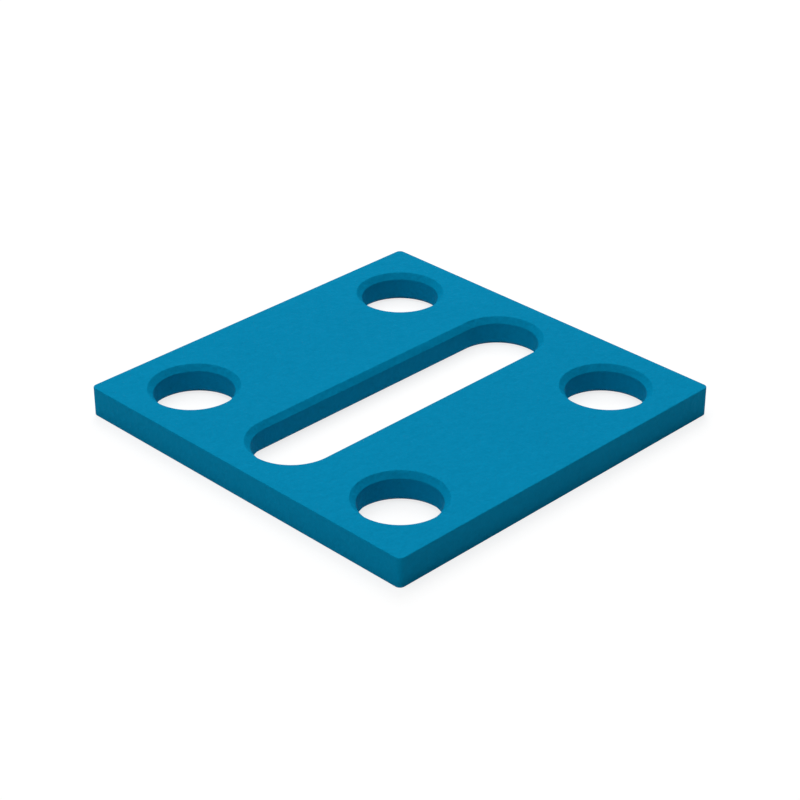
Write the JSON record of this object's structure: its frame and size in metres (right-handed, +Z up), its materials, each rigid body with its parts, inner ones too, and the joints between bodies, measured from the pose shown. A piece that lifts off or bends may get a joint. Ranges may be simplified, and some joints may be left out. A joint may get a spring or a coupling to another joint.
{
  "type": "fixture plate",
  "caption": "Flat square plate with a bolt hole near each corner and a round-ended slot along the middle for a sliding clamp bolt. Every rim is chamfered.",
  "frame": {"origin": "middle of the underside, in the centre of the slot", "axes": "+X runs along the slot, +Y runs across it and +Z points up out of the top face"},
  "size_m": [0.075, 0.075, 0.0055],
  "materials": {
    "blue_coat": "matte"
  },
  "bodies": {
    "root": {"plate": "blue_coat"}
  },
  "joints": []
}
